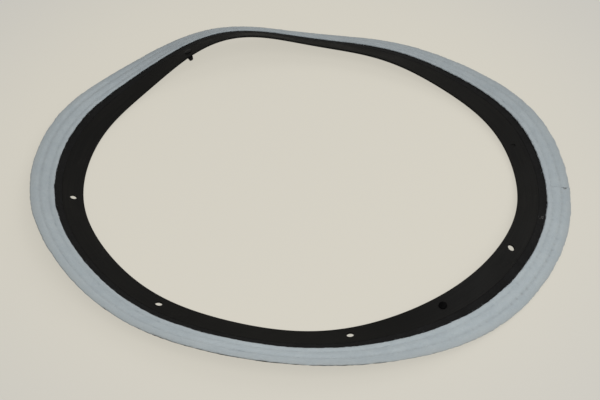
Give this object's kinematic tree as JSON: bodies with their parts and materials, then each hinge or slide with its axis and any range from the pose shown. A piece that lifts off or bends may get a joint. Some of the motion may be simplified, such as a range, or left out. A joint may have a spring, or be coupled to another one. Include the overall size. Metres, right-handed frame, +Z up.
{
  "type": "dryer drum seal",
  "caption": "Soft ring that seals a tumble dryer's drum: black rubber flange with screw holes and two push-in pins, and a felt facing sewn on to a felt backing.",
  "frame": {"origin": "on the surface the ring lies on, under the middle of its bounding box", "axes": "+Z up, through the ring's opening; +X along the long way of the slightly oval ring, towards the felt's butt seam; -Y towards the viewer of the picture"},
  "size_m": [0.5596, 0.513, 0.0415],
  "materials": {
    "carrier_ring": "smooth satin black moulded rubber",
    "backing_felt": "matte black needled felt",
    "facing_felt": "soft pale blue-grey pressed felt",
    "inner_stitching": "blue-grey sewing thread",
    "outer_stitching": "blue-grey sewing thread",
    "front_pin": "glossy black moulded plastic",
    "rear_pin": "glossy black moulded plastic"
  },
  "bodies": {
    "root": {"carrier_ring": "carrier_ring", "backing_felt": "backing_felt", "facing_felt": "facing_felt", "inner_stitching": "inner_stitching", "outer_stitching": "outer_stitching", "front_pin": "front_pin", "rear_pin": "rear_pin"}
  },
  "joints": []
}
